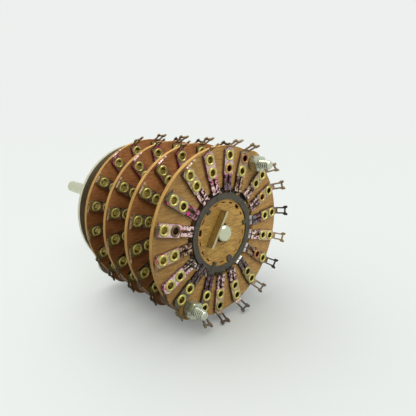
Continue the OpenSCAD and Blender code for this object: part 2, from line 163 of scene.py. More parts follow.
LAST_DECK_CLIPS = (
    ClipTones(Tone.SHELL, Tone.SLATE, Tone.VIOLET, Tone.SAND, Tone.SOOT_AND_SHADE, 0.2, 0.55),
    ClipTones(Tone.SAND, Tone.BRONZE, Tone.SAND, Tone.TAN),
    ClipTones(Tone.TAN, Tone.TAN, Tone.SHELL, Tone.SAND),
    ClipTones(Tone.TAN, Tone.VIOLET, Tone.SHELL, Tone.TAN, Tone.TAN, 0.1, 0.3),
    ClipTones(Tone.TAN, Tone.VIOLET, Tone.SLATE, Tone.SOOT_AND_SHADE, Tone.SILVER, 0.2, 0.55),
    ClipTones(Tone.SAND, Tone.PINK, Tone.SHELL, Tone.TAN, Tone.SILVER, 0.3, 0.35),
    ClipTones(Tone.BRONZE, Tone.UMBER, Tone.TAN, Tone.SOOT_AND_SHADE, Tone.SILVER),
    ClipTones(Tone.TAN, Tone.UMBER, Tone.SLATE, Tone.UMBER, Tone.SILVER),
    ClipTones(Tone.SAND, Tone.VIOLET, Tone.SHELL, Tone.SOOT_AND_SHADE, Tone.UMBER, 0.2, 0.3),
    ClipTones(Tone.SAND, Tone.VIOLET, Tone.SHELL, Tone.UMBER, Tone.UMBER, 0.3, 0.2),
    ClipTones(Tone.BRONZE, Tone.UMBER, Tone.VIOLET, Tone.OLIVE, Tone.SILVER, 0.0, 0.2),
    ClipTones(Tone.OLIVE, Tone.UMBER, Tone.SLATE, Tone.OLIVE, Tone.SILVER),
    ClipTones(Tone.SHELL, Tone.TAN, Tone.SILVER, Tone.UMBER, Tone.UMBER, 0.6, 0.5),
    ClipTones(Tone.SAND, Tone.UMBER, Tone.SAND, Tone.TAN, Tone.SOOT_AND_SHADE, 0.5, 0.2),
    ClipTones(Tone.SHELL, Tone.SHELL, Tone.SHELL, Tone.OLIVE, Tone.SOOT_AND_SHADE, 0.6, 0.4),
    ClipTones(Tone.MOSS, Tone.SLATE, Tone.ROSE, Tone.OLIVE, Tone.SOOT_AND_SHADE, 0.5, 0.65),
    ClipTones(Tone.TAN, Tone.PINK, Tone.SHELL, Tone.SAND, Tone.SOOT_AND_SHADE, 0.15, 0.25),
    ClipTones(Tone.PINK, Tone.ROSE, Tone.SHELL, Tone.TAN, Tone.SOOT_AND_SHADE, 0.5, 0.55),
)
FAR_DECK_CLIPS = (
    ClipTones(Tone.TAN, Tone.VIOLET, Tone.ROSE, Tone.TAN, Tone.UMBER, 0.5, 0.3),
    ClipTones(Tone.OLIVE, Tone.BRONZE, Tone.SAND, Tone.BRONZE),
    ClipTones(Tone.TAN, Tone.TAN, Tone.SHELL, Tone.OLIVE),
    ClipTones(Tone.OLIVE, Tone.VIOLET, Tone.SHELL, Tone.UMBER, Tone.UMBER, 0.3),
    ClipTones(Tone.BRONZE, Tone.UMBER, Tone.SLATE, Tone.UMBER),
    ClipTones(Tone.SAND, Tone.TAN, Tone.SHELL, Tone.BRONZE, Tone.UMBER, 0.3),
    ClipTones(Tone.OLIVE, Tone.BRONZE, Tone.TAN, Tone.OLIVE),
    ClipTones(Tone.BRONZE, Tone.UMBER, Tone.TAN, Tone.OLIVE),
    ClipTones(Tone.PINK, Tone.VIOLET, Tone.SHELL, Tone.UMBER, Tone.UMBER, 0.5),
    ClipTones(Tone.OLIVE, Tone.UMBER, Tone.TAN, Tone.OLIVE),
    ClipTones(Tone.BRONZE, Tone.VIOLET, Tone.ROSE, Tone.UMBER, Tone.UMBER, 0.1),
    ClipTones(Tone.UMBER, Tone.SLATE, Tone.SLATE, Tone.UMBER, Tone.UMBER, 0.1),
    ClipTones(Tone.UMBER, Tone.BRONZE, Tone.SAND, Tone.OLIVE, Tone.UMBER, 0.35),
    ClipTones(Tone.BRONZE, Tone.UMBER, Tone.SAND, Tone.TAN, Tone.UMBER, 0.2),
    ClipTones(Tone.OLIVE, Tone.UMBER, Tone.SHELL, Tone.TAN, Tone.UMBER, 0.15),
    ClipTones(Tone.OLIVE, Tone.BRONZE, Tone.PINK, Tone.SAND, Tone.UMBER, 0.25),
    ClipTones(Tone.TAN, Tone.UMBER, Tone.SAND, Tone.PINK, Tone.UMBER, 0.65, 0.3),
    ClipTones(Tone.PINK, Tone.ROSE, Tone.SHELL, Tone.BRONZE, Tone.UMBER, 0.7, 0.4),
)


@dataclass(frozen=True)
class EyeletTones:
    """Tones of one eyelet: its rolled lip and its barrel."""

    lip: Tone = Tone.BRASS
    barrel: Tone = Tone.AMBER


OUTER_EYELETS = {
    0: EyeletTones(Tone.BRASS, Tone.TAN),
    1: EyeletTones(Tone.COPPER, Tone.UMBER),
    3: EyeletTones(Tone.BRASS, Tone.BRONZE),
    9: EyeletTones(Tone.STRAW, Tone.UMBER),
}
INNER_EYELETS = {
    0: EyeletTones(Tone.GOLD, Tone.RUST),
    3: EyeletTones(Tone.GOLD, Tone.AMBER),
    5: EyeletTones(Tone.BRASS, Tone.TAN),
    6: EyeletTones(Tone.COPPER, Tone.COPPER),
    7: EyeletTones(Tone.STRAW, Tone.TAN),
    12: EyeletTones(Tone.BRASS, Tone.DUSK),
    14: EyeletTones(Tone.DUSK, Tone.UMBER),
    15: EyeletTones(Tone.BRASS, Tone.DUSK),
}


class Effect(Enum):
    """Shader groups that more than one finish uses."""

    COORDS = "switch_coords"
    GRAIN = "stretched_grain"
    BLOTCH = "tarnish_blotch"
    EDGE = "edge_wear"
    RIM = "cut_rim"


class Body(Enum):
    """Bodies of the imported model."""

    STACK = "stack"
    ROTOR = "rotor"


class Graph:
    """A node tree that is being wired, with a method for each kind of step."""

    def __init__(self, tree: bpy.types.NodeTree) -> None:
        """Keeps the tree to wire and clears it."""
        self.tree = tree
        self.tree.nodes.clear()

    def plug(self, socket: bpy.types.NodeSocket, value: Wire) -> None:
        """Links a socket, or sets its constant.

        Args:
            socket: the input socket.
            value: an output socket, a number or a tuple.
        """
        if isinstance(value, bpy.types.NodeSocket):
            self.tree.links.new(value, socket)
        elif socket.type == "RGBA" and isinstance(value, tuple) and len(value) == 3:
            socket.default_value = (*value, 1.0)
        else:
            socket.default_value = value

    def add(
        self, kind: str, inputs: dict[Union[str, int], Wire] | None = None, **settings: object
    ) -> bpy.types.Node:
        """Adds a node.

        Args:
            kind: the node type without its ShaderNode prefix.
            inputs: values or links by socket name or number.
            settings: properties of the node.

        Returns:
            The new node.
        """
        node = self.tree.nodes.new("ShaderNode" + kind)
        for name, value in settings.items():
            setattr(node, name, value)
        for key, value in (inputs or {}).items():
            self.plug(node.inputs[key], value)
        return node

    def math(self, operation: str, a: Wire, b: Wire = 0.0, clamp: bool = False) -> bpy.types.NodeSocket:
        """Adds a Math node, held to 0..1 if clamped, and returns its value."""
        return self.add("Math", {0: a, 1: b}, operation=operation, use_clamp=clamp).outputs[0]

    def vector(self, operation: str, a: Wire, b: Wire = (0.0, 0.0, 0.0)) -> bpy.types.NodeSocket:
        """Adds a Vector Math node and returns its vector."""
        return self.add("VectorMath", {0: a, 1: b}, operation=operation).outputs["Vector"]

    def noise(
        self, position: Wire, scale: Wire, detail: float, roughness: float, warp: Wire = 0.0
    ) -> bpy.types.NodeSocket:
        """Adds a Noise texture and returns its factor."""
        inputs = {"Vector": position, "Scale": scale, "Detail": detail, "Roughness": roughness}
        return self.add("TexNoise", {**inputs, "Distortion": warp}).outputs["Fac"]

    def step(self, value: Wire, low: Wire, high: Wire) -> bpy.types.NodeSocket:
        """Adds a smooth step from 0 at low to 1 at high and returns its mask."""
        inputs = {"Value": value, "From Min": low, "From Max": high}
        return self.add("MapRange", inputs, interpolation_type="SMOOTHSTEP").outputs["Result"]

    def spread(self, value: Wire, low: float, high: float) -> bpy.types.NodeSocket:
        """Adds a linear map of 0..1 to low..high and returns its value."""
        return self.add("MapRange", {"Value": value, "To Min": low, "To Max": high}).outputs["Result"]

    def mix(self, factor: Wire, a: Wire, b: Wire, blend: str = "MIX") -> bpy.types.NodeSocket:
        """Adds a colour mix.

        Args:
            factor: 0 for a, 1 for b.
            a: the first colour.
            b: the second colour.
            blend: the blend type.

        Returns:
            The colour socket.
        """
        node = self.add("Mix", {0: factor}, data_type="RGBA", blend_type=blend)
        self.plug(node.inputs[6], a)
        self.plug(node.inputs[7], b)
        return node.outputs[2]

    def veil(self, colour: Wire, over: Wire, mask: Wire, share: float) -> bpy.types.NodeSocket:
        """Lays a colour over another where the mask is, hiding a share of it."""
        return self.mix(self.math("MULTIPLY", mask, share), colour, over)

    def ramp(
        self, factor: Wire, stops: tuple[tuple[float, Colour], ...], interpolation: str = "LINEAR"
    ) -> bpy.types.NodeSocket:
        """Adds a colour ramp.

        Args:
            factor: the position on the ramp.
            stops: places and their colours, in order.
            interpolation: how colours run from stop to stop.

        Returns:
            The colour socket.
        """
        node = self.add("ValToRGB", {"Fac": factor})
        node.color_ramp.interpolation = interpolation
        marks = node.color_ramp.elements
        while len(marks) < len(stops):
            marks.new(1.0)
        for mark, (place, colour) in zip(marks, stops):
            mark.position = place
            mark.color = (*colour, 1.0)
        return node.outputs["Color"]

    def bands(self, number: Wire, colours: tuple[Colour, ...]) -> bpy.types.NodeSocket:
        """Looks up a colour by a whole number.

        Args:
            number: which colour, from 0.
            colours: the colours in order.

        Returns:
            The colour socket.
        """
        count = len(colours)
        share = self.math("DIVIDE", self.math("ADD", number, 0.5), float(count))
        stops = tuple((index / count, colour) for index, colour in enumerate(colours))
        return self.ramp(share, stops, "CONSTANT")

    def effect(self, effect: Effect, inputs: dict[str, Wire] | None = None) -> bpy.types.Node:
        """Places a shared shader group with its values and returns its node."""
        return self.add("Group", inputs, node_tree=bpy.data.node_groups[effect.value])

    def parts(self, vector: Wire) -> tuple[bpy.types.NodeSocket, ...]:
        """Splits a vector into its X, Y and Z sockets."""
        return tuple(self.add("SeparateXYZ", {0: vector}).outputs)

    def join(self, x: Wire, y: Wire, z: Wire) -> bpy.types.NodeSocket:
        """Joins three numbers to a vector."""
        return self.add("CombineXYZ", {0: x, 1: y, 2: z}).outputs[0]


@dataclass(frozen=True)
class Blotch:
    """Patches of one kind: how fine they are, and where their mask starts and is full."""

    scale: float
    low: float
    high: float

    def lay(self, graph: Graph, position: Wire) -> bpy.types.Node:
        """Places the patches in a material: a group node with their mask and raw noise."""
        inputs = {"Position": position, "Scale": self.scale, "Low": self.low, "High": self.high}
        return graph.effect(Effect.BLOTCH, inputs)


@dataclass(frozen=True)
class EdgeWearAndHighlight:
    """Edges that are rubbed pale and carry a painted highlight, of one width, and how strongly they show."""

    width_mm: float
    gain: float = 3.0

    def lay(self, graph: Graph) -> bpy.types.Node:
        """Places the rubbed edges with their painted highlight in a material: a group node with their mask
        and normal.
        """
        return graph.effect(Effect.EDGE, {"Width": self.width_mm * MM, "Gain": self.gain})


@dataclass(frozen=True)
class EffectLibrary:
    """Builds the shader groups that the finishes share."""

    coarse_share: float = 0.65
    fine_scale: float = 2.7
    edge_samples: int = 4
    rim_facing: Span = (0.3, 0.7)
    layer_stretch: tuple[float, float, float] = (0.12, 6.0, 0.12)

    def start(
        self, effect: Effect, inputs: dict[str, tuple[str, Wire]], outputs: dict[str, str]
    ) -> tuple[Graph, bpy.types.Node, bpy.types.Node]:
        """Starts a group with its sockets.

        Args:
            effect: the group's name.
            inputs: socket kind and default by name.
            outputs: socket kind by name.

        Returns:
            The graph, its input node and its output node.
        """
        tree = bpy.data.node_groups.new(effect.value, "ShaderNodeTree")
        for name, (kind, default) in inputs.items():
            socket = tree.interface.new_socket(name=name, in_out="INPUT", socket_type="NodeSocket" + kind)
            socket.default_value = default
        for name, kind in outputs.items():
            tree.interface.new_socket(name=name, in_out="OUTPUT", socket_type="NodeSocket" + kind)
        graph = Graph(tree)
        return graph, tree.nodes.new("NodeGroupInput"), tree.nodes.new("NodeGroupOutput")

    def build_coords(self) -> None:
        """Builds places in millimetres, and the clip, deck and height that a point belongs to."""
        graph, _, end = self.start(
            Effect.COORDS,
            {},
            {
                "Position": "Vector",
                "Radius": "Float",
                "Height": "Float",
                "Clip": "Float",
                "Deck": "Float",
                "Across": "Float",
                "Round": "Vector",
            },
        )
        place = graph.vector("SCALE", graph.add("TexCoord").outputs["Object"])
        place.node.inputs["Scale"].default_value = 1.0 / MM
        x, y, z = graph.parts(place)
        squares = [graph.math("POWER", part, 2.0) for part in (x, z)]
        radius = graph.math("SQRT", graph.math("ADD", *squares))
        angle = graph.math("ARCTAN2", graph.math("MULTIPLY", x, -1.0), z)
        turn = graph.math("DIVIDE", graph.math("DEGREES", angle), 360.0 / CLIP_COUNT)
        turn = graph.math("SUBTRACT", turn, FIRST_CLIP_DEG * CLIP_COUNT / 360.0)
        nearest = graph.math("ROUND", turn)
        aside = graph.math("MULTIPLY", graph.math("SUBTRACT", turn, nearest), 2.0 * math.pi / CLIP_COUNT)
        above = graph.math("SUBTRACT", y, FIRST_FACE_MM)
        reach = graph.math("ADD", above, DECK_REACH_MM)
        deck = graph.math("FLOOR", graph.math("DIVIDE", reach, DECK_PITCH_MM))
        height = graph.math("SUBTRACT", above, graph.math("MULTIPLY", deck, DECK_PITCH_MM))
        graph.plug(end.inputs["Position"], place)
        graph.plug(end.inputs["Radius"], radius)
        graph.plug(end.inputs["Height"], height)
        graph.plug(end.inputs["Clip"], graph.math("FLOORED_MODULO", nearest, float(CLIP_COUNT)))
        graph.plug(end.inputs["Deck"], deck)
        graph.plug(end.inputs["Across"], graph.math("MULTIPLY", aside, radius))
        graph.plug(end.inputs["Round"], graph.join(graph.math("MULTIPLY", angle, radius), y, radius))

    def build_grain(self) -> None:
        """Builds fibres or brush marks: noise drawn out along one direction."""
        graph, start, end = self.start(
            Effect.GRAIN,
            {
                "Position": ("Vector", (0.0, 0.0, 0.0)),
                "Stretch": ("Vector", (1.0, 1.0, 1.0)),
                "Warp": ("Float", 0.3),
            },
            {"Fac": "Float"},
        )
        place = graph.vector("MULTIPLY", start.outputs["Position"], start.outputs["Stretch"])
        coarse = graph.noise(place, 1.0, 4.0, 0.6, start.outputs["Warp"])
        fine = graph.noise(place, self.fine_scale, 2.0, 0.5)
        coarse = graph.math("MULTIPLY", coarse, self.coarse_share)
        fine = graph.math("MULTIPLY", fine, 1.0 - self.coarse_share)
        graph.plug(end.inputs["Fac"], graph.math("ADD", coarse, fine))

    def build_blotch(self) -> None:
        """Builds soft patches for tarnish, dirt and stains."""
        graph, start, end = self.start(
            Effect.BLOTCH,
            {
                "Position": ("Vector", (0.0, 0.0, 0.0)),
                "Scale": ("Float", 0.5),
                "Low": ("Float", 0.45),
                "High": ("Float", 0.6),
            },
            {"Mask": "Float", "Raw": "Float"},
        )
        raw = graph.noise(start.outputs["Position"], start.outputs["Scale"], 5.0, 0.6, 0.4)
        graph.plug(end.inputs["Mask"], graph.step(raw, start.outputs["Low"], start.outputs["High"]))
        graph.plug(end.inputs["Raw"], raw)

    def build_edge(self) -> None:
        """Builds rubbed edges with a painted highlight: a rounded normal, and a mask where it departs from
        the flat one.
        """
        graph, start, end = self.start(
            Effect.EDGE,
            {"Width": ("Float", 0.0002), "Gain": ("Float", 4.0)},
            {"Mask": "Float", "Normal": "Vector"},
        )
        bevel = graph.add("Bevel", {"Radius": start.outputs["Width"]}, samples=self.edge_samples)
        flat = graph.add("NewGeometry").outputs["Normal"]
        dot = graph.add("VectorMath", {0: bevel.outputs[0], 1: flat}, operation="DOT_PRODUCT")
        bent = graph.math("SUBTRACT", 1.0, dot.outputs["Value"], clamp=True)
        graph.plug(end.inputs["Mask"], graph.math("MULTIPLY", bent, start.outputs["Gain"], clamp=True))
        graph.plug(end.inputs["Normal"], bevel.outputs[0])

    def build_rim(self) -> None:
        """Builds the cut edge of a sheet: its mask and its thin layers."""
        graph, start, end = self.start(
            Effect.RIM, {"Position": ("Vector", (0.0, 0.0, 0.0))}, {"Mask": "Float", "Layers": "Float"}
        )
        _, along, _ = graph.parts(graph.add("TexCoord").outputs["Normal"])
        facing = graph.math("ABSOLUTE", along)
        graph.plug(end.inputs["Mask"], graph.math("SUBTRACT", 1.0, graph.step(facing, *self.rim_facing)))
        layered = graph.vector("MULTIPLY", start.outputs["Position"], self.layer_stretch)
        graph.plug(end.inputs["Layers"], graph.noise(layered, 1.0, 3.0, 0.6))

    def build(self) -> None:
        """Builds every group."""
        self.build_coords()
        self.build_grain()
        self.build_blotch()
        self.build_edge()
        self.build_rim()


@dataclass(frozen=True)
class Finish:
    """A material, named for its slot, with a Principled shader and a board of nodes that feed it."""

    name: str

    def build(self) -> bpy.types.Material:
        """Builds the material, in each finish's own way."""
        raise NotImplementedError

    def open(self) -> tuple[bpy.types.Material, Graph, bpy.types.Node]:
        """Starts the material.

        Returns:
            The material, its graph and its Principled shader.
        """
        material = bpy.data.materials.new(self.name)
        material.use_nodes = True
        graph = Graph(material.node_tree)
        shader = graph.add("BsdfPrincipled")
        out = graph.add("OutputMaterial")
        graph.plug(out.inputs["Surface"], shader.outputs[0])
        return material, graph, shader

    def bump(
        self, graph: Graph, shader: bpy.types.Node, height: Wire, depth_mm: float, normal: Wire | None = None
    ) -> None:
        """Adds relief to a shader.

        Args:
            graph: the material's graph.
            shader: the Principled shader.
            height: the height, 0 to 1.
            depth_mm: the depth of the relief.
            normal: a normal to start from.
        """
        node = graph.add("Bump", {"Height": height, "Strength": 1.0, "Distance": depth_mm * MM})
        if normal is not None:
            graph.plug(node.inputs["Normal"], normal)
        graph.plug(shader.inputs["Normal"], node.outputs[0])


@dataclass(frozen=True)
class LaminateFinish(Finish):
    """Brown paper laminate: fibres on its faces, thin layers on its cut edges."""

    dark: Colour
    light: Colour
    stain: Colour
    rim_dark: Colour
    rim_light: Colour
    stretch: tuple[float, float, float]
    far_tint: Colour = (1.06, 0.79, 0.86)
    grain_span: Span = (0.32, 0.68)
    layer_span: Span = (0.35, 0.65)
    patch: Blotch = Blotch(0.09, 0.4, 0.75)
    patch_share: float = 0.5
    speck: Blotch = Blotch(1.6, 0.62, 0.72)
    speck_share: float = 0.25
    wear_and_highlight: EdgeWearAndHighlight = EdgeWearAndHighlight(0.15, 2.0)
    worn_and_highlight_share: float = 0.5
    # How strongly, and from what depth below the face, cut walls get painted shade.
    hole_shade_share: float = 0.0
    hole_shade_span_mm: Span = (-0.2, -0.7)
    relief_mm: float = 0.04
    roughness: Span = (0.38, 0.64)
    gloss: float = 0.3

    def build(self) -> bpy.types.Material:
        """Builds the laminate.

        Returns:
            The material.
        """
        material, graph, shader = self.open()
        coords = graph.effect(Effect.COORDS)
        place = coords.outputs["Position"]
        grain = graph.effect(Effect.GRAIN, {"Position": place, "Stretch": self.stretch}).outputs["Fac"]
        patch = self.patch.lay(graph, place)
        speck = self.speck.lay(graph, place)
        rim = graph.effect(Effect.RIM, {"Position": place})
        edge = self.wear_and_highlight.lay(graph)
        face = graph.mix(graph.step(grain, *self.grain_span), self.dark, self.light)
        face = graph.veil(face, self.stain, patch.outputs["Mask"], self.patch_share)
        face = graph.veil(face, self.stain, speck.outputs["Mask"], self.speck_share)
        far = graph.math("LESS_THAN", coords.outputs["Deck"], BEFORE_LAST_DECK)
        face = graph.mix(far, face, self.far_tint, "MULTIPLY")
        cut = graph.mix(graph.step(rim.outputs["Layers"], *self.layer_span), self.rim_dark, self.rim_light)
        # Painted shade: cut walls lying below the face, in the rotor's holes and slits, are laid over with
        # soot-black.
        painted_hole_shade = graph.step(coords.outputs["Height"], *self.hole_shade_span_mm)
        cut = graph.veil(cut, Tone.SOOT_AND_SHADE.value, painted_hole_shade, self.hole_shade_share)
        colour = graph.mix(rim.outputs["Mask"], face, cut)
        # Paler edges: partly rubbed, partly painted highlight.
        colour = graph.veil(colour, self.rim_light, edge.outputs["Mask"], self.worn_and_highlight_share)
        shader.inputs["Specular IOR Level"].default_value = self.gloss
        graph.plug(shader.inputs["Base Color"], colour)
        graph.plug(shader.inputs["Roughness"], graph.spread(grain, *self.roughness))
        layers = graph.math("MULTIPLY", rim.outputs["Layers"], rim.outputs["Mask"])
        height = graph.math("ADD", grain, layers)
        self.bump(graph, shader, height, self.relief_mm, edge.outputs["Normal"])
        return material


@dataclass(frozen=True)
class ClipFinish(Finish):
    """Silver-plated spring clip: strip, jaw and lug, each clip with tones of its own."""

    last: tuple[ClipTones, ...] = LAST_DECK_CLIPS
    far: tuple[ClipTones, ...] = FAR_DECK_CLIPS
    metallic: float = 0.55
    jaw_start_mm: float = 22.0
    jaw_full_mm: float = 21.4
    lug_start_mm: float = 31.0
    lug_full_mm: float = 31.9
    # Where the jaw's low inner tip takes the painted shadow or the painted glint of its tip tone.
    painted_tip_span_mm: Span = (17.3, 17.1)
    painted_tip_height_mm: Span = (0.5, 0.4)
    # Where, and how strongly, the far decks' strips turn a lighter straw tone towards the rim.
    far_end_span_mm: Span = (29.2, 30.2)
    far_end_share: float = 0.75
    far_end: Tone = Tone.STRAW
    seed_step: float = 3.7
    seed_gap_mm: float = 9.0
    mottle: Blotch = Blotch(0.95, 0.46, 0.56)
    glint_share: float = 0.45
    # Mottle spans of the jaw's painted glints and of its dark patches, which are tarnish and painted shade.
    jaw_glint: Span = (0.51, 0.55)
    jaw_rust_and_shade: Span = (0.508, 0.488)
    jaw_soot_and_shade: Span = (0.455, 0.43)
    blush_start_mm: float = 29.0
    blush_side_mm: Span = (1.5, 2.0)
    blush_neck_mm: float = 20.9
    blush_off_neck_mm: Span = (1.6, 0.6)
    blush_push: Span = (-0.22, 0.08)
    blush_span: Span = (0.46, 0.54)
    dirt: Blotch = Blotch(1.7, 0.40, 0.62)
    dirt_share: float = 0.45
    lug_dirt_share: float = 0.5
    # Side walls of the strips get soot-black: partly tarnish, partly painted shade.
    wall_facing: Span = (0.6, 0.3)
    wall_soot_and_shade_share: float = 0.65
    wear_and_highlight: EdgeWearAndHighlight = EdgeWearAndHighlight(0.08)
    worn_and_highlight_share: float = 0.2
    relief_mm: float = 0.12
    roughness: Span = (0.15, 0.6)

    def tones(
        self, graph: Graph, coords: bpy.types.Node, pick: Callable[[ClipTones], Colour]
    ) -> bpy.types.NodeSocket:
        """Looks up one tone of the clip that a point belongs to.

        Args:
            graph: the material's graph.
            coords: the coordinates group.
            pick: takes the tone from a clip's tones.

        Returns:
            The colour socket.
        """
        clip = coords.outputs["Clip"]
        far = graph.bands(clip, tuple(pick(tones) for tones in self.far))
        last = graph.bands(clip, tuple(pick(tones) for tones in self.last))
        return graph.mix(graph.math("GREATER_THAN", coords.outputs["Deck"], BEFORE_LAST_DECK), far, last)

    def build_jaw(self, graph: Graph, coords: bpy.types.Node, mottle: Wire) -> bpy.types.NodeSocket:
        """Builds the jaw's colour: its own tone, painted glints, and rust and soot patches that also paint
        the shade of a bent spring.

        Args:
            graph: the material's graph.
            coords: the coordinates group.
            mottle: noise along the clip.

        Returns:
            The colour socket.
        """
        tone = self.tones(graph, coords, lambda tones: tones.jaw.value)
        glint = self.tones(graph, coords, lambda tones: tones.glint.value)
        # Painted highlights and painted shade stand in for the bends of the spring fingers; the dark patches
        # are also tarnish.
        jaw = graph.mix(graph.step(mottle, *self.jaw_glint), tone, glint)
        jaw = graph.mix(graph.step(mottle, *self.jaw_rust_and_shade), jaw, Tone.RUST.value)
        return graph.mix(graph.step(mottle, *self.jaw_soot_and_shade), jaw, Tone.SOOT_AND_SHADE.value)

    def build_blush(self, graph: Graph, coords: bpy.types.Node, mottle: Wire) -> bpy.types.NodeSocket:
        """Builds the mask of the magenta tarnish at a clip's rim end and at its neck.

        Args:
            graph: the material's graph.
            coords: the coordinates group.
            mottle: noise along the clip.

        Returns:
            The mask socket.
        """
        radius = coords.outputs["Radius"]
        rim = graph.step(radius, self.blush_start_mm, self.lug_start_mm)
        off_middle = graph.math("ABSOLUTE", coords.outputs["Across"])
        side = graph.step(off_middle, *self.blush_side_mm)
        side = graph.math("MULTIPLY", side, graph.step(radius, self.jaw_full_mm, self.jaw_start_mm))
        rim = graph.math("MAXIMUM", rim, side)
        off_neck = graph.math("ABSOLUTE", graph.math("SUBTRACT", radius, self.blush_neck_mm))
        neck = graph.step(off_neck, *self.blush_off_neck_mm)
        masks = []
        for zone, pick in (
            (rim, lambda tones: (tones.rim_blush,) * 3),
            (neck, lambda tones: (tones.neck_blush,) * 3),
        ):
            amount = graph.add("RGBToBW", {0: self.tones(graph, coords, pick)}).outputs[0]
            raised = graph.math("ADD", mottle, graph.spread(amount, *self.blush_push))
            masks.append(graph.math("MULTIPLY", graph.step(raised, *self.blush_span), zone))
        return graph.math("MAXIMUM", *masks)

    def build(self) -> bpy.types.Material:
        """Builds the clip metal.

        Returns:
            The material.
        """
        material, graph, shader = self.open()
        coords = graph.effect(Effect.COORDS)
        radius, height = (coords.outputs[key] for key in ("Radius", "Height"))
        seed = graph.math("MULTIPLY", coords.outputs["Clip"], self.seed_step)
        seed = graph.math("ADD", seed, coords.outputs["Deck"])
        aside = graph.math("MULTIPLY", seed, self.seed_gap_mm)
        along = graph.join(coords.outputs["Across"], radius, aside)
        mottle = self.mottle.lay(graph, along)
        dirt = self.dirt.lay(graph, along)
        edge = self.wear_and_highlight.lay(graph)
        strip = self.tones(graph, coords, lambda tones: tones.strip.value)
        glint = self.tones(graph, coords, lambda tones: tones.glint.value)
        strip = graph.veil(strip, Tone.UMBER.value, dirt.outputs["Mask"], self.dirt_share)
        strip = graph.veil(strip, glint, mottle.outputs["Mask"], self.glint_share)
        lug = self.tones(graph, coords, lambda tones: tones.lug.value)
        lug = graph.veil(lug, Tone.UMBER.value, dirt.outputs["Mask"], self.lug_dirt_share)
        jaw = self.build_jaw(graph, coords, mottle.outputs["Raw"])
        colour = graph.mix(graph.step(radius, self.jaw_start_mm, self.jaw_full_mm), strip, jaw)
        # On the far decks the strips turn a lighter straw tone towards the rim.
        far = graph.math("LESS_THAN", coords.outputs["Deck"], BEFORE_LAST_DECK)
        far_end = graph.math("MULTIPLY", graph.step(radius, *self.far_end_span_mm), far)
        colour = graph.veil(colour, self.far_end.value, far_end, self.far_end_share)
        blush = self.build_blush(graph, coords, mottle.outputs["Raw"])
        colour = graph.mix(blush, colour, Tone.MAGENTA.value)
        colour = graph.mix(graph.step(radius, self.lug_start_mm, self.lug_full_mm), colour, lug)
        # Soot-black on the strips' side walls: partly tarnish, partly painted shade.
        _, facing, _ = graph.parts(graph.add("TexCoord").outputs["Normal"])
        wall = graph.step(graph.math("ABSOLUTE", facing), *self.wall_facing)
        wall = graph.math("MULTIPLY", wall, graph.step(radius, self.lug_full_mm, self.lug_start_mm))
        colour = graph.veil(colour, Tone.SOOT_AND_SHADE.value, wall, self.wall_soot_and_shade_share)
        # Each jaw's low inner tip takes its clip's tip tone: a painted shadow on most clips, a painted glint
        # on a few.
        inner = graph.step(radius, *self.painted_tip_span_mm)
        low = graph.step(height, *self.painted_tip_height_mm)
        tip = self.tones(graph, coords, lambda tones: tones.tip.value)
        colour = graph.mix(graph.math("MULTIPLY", inner, low), colour, tip)
        # Paler edges: partly rubbed plating, partly painted highlight.
        colour = graph.veil(colour, Tone.SAND.value, edge.outputs["Mask"], self.worn_and_highlight_share)
        graph.plug(shader.inputs["Base Color"], colour)
        graph.plug(shader.inputs["Roughness"], graph.spread(dirt.outputs["Raw"], *self.roughness))
        shader.inputs["Metallic"].default_value = self.metallic
        self.bump(graph, shader, mottle.outputs["Raw"], self.relief_mm, edge.outputs["Normal"])
        return material


@dataclass(frozen=True)
class EyeletFinish(Finish):
    """Rolled brass eyelet: yellow lip, golden barrel, and odd ones coppery or dark."""

    outer: dict[int, EyeletTones]
    inner: dict[int, EyeletTones]
    usual: EyeletTones = EyeletTones()
    far: EyeletTones = EyeletTones(Tone.BRASS, Tone.OCHRE)
    barrel_top_mm: float = 1.15
    barrel_full_mm: float = 0.85
    barrel_end_mm: float = -1.6
    # Painted shade down the barrel: darker halfway down, paler at the top and the bottom.
    barrel_painted_shades: tuple[Colour, ...] = (
        display(236, 230, 214),
        display(190, 180, 160),
        display(240, 234, 220),
    )
    lip_metallic: float = 0.45
    barrel_metallic: float = 1.0
    dirt: Blotch = Blotch(0.8, 0.45, 0.68)
    dirt_share: float = 0.4
    relief_mm: float = 0.04
    roughness: Span = (0.15, 0.45)

    def tones(
        self, graph: Graph, coords: bpy.types.Node, pick: Callable[[EyeletTones], Tone]
    ) -> bpy.types.NodeSocket:
        """Looks up one tone of the eyelet that a point belongs to.

        Args:
            graph: the material's graph.
            coords: the coordinates group.
            pick: takes the tone from an eyelet's tones.

        Returns:
            The colour socket.
        """
        rings = []
        for odd in (self.inner, self.outer):
            row = tuple(pick(odd.get(clip, self.usual)).value for clip in range(CLIP_COUNT))
            rings.append(graph.bands(coords.outputs["Clip"], row))
        near = graph.mix(graph.math("GREATER_THAN", coords.outputs["Radius"], EYELET_SPLIT_MM), *rings)
        last = graph.math("GREATER_THAN", coords.outputs["Deck"], BEFORE_LAST_DECK)
        return graph.mix(last, pick(self.far).value, near)

    def build(self) -> bpy.types.Material:
        """Builds the eyelet brass.

        Returns:
            The material.
        """
        material, graph, shader = self.open()
        coords = graph.effect(Effect.COORDS)
        height = coords.outputs["Height"]
        dirt = self.dirt.lay(graph, coords.outputs["Position"])
        lip = self.tones(graph, coords, lambda tones: tones.lip)
        lip = graph.veil(lip, Tone.OLIVE.value, dirt.outputs["Mask"], self.dirt_share)
        # Painted shade and light inside the barrel, multiplied over its tone by depth.
        depth = graph.step(height, self.barrel_end_mm, self.barrel_full_mm)
        shade = graph.ramp(depth, tuple(zip((0.0, 0.5, 1.0), self.barrel_painted_shades)))
        barrel = graph.mix(1.0, self.tones(graph, coords, lambda tones: tones.barrel), shade, "MULTIPLY")
        within = graph.step(height, self.barrel_top_mm, self.barrel_full_mm)
        graph.plug(shader.inputs["Base Color"], graph.mix(within, lip, barrel))
        graph.plug(shader.inputs["Roughness"], graph.spread(dirt.outputs["Raw"], *self.roughness))
        graph.plug(shader.inputs["Metallic"], graph.spread(within, self.lip_metallic, self.barrel_metallic))
        self.bump(graph, shader, dirt.outputs["Raw"], self.relief_mm)
        return material


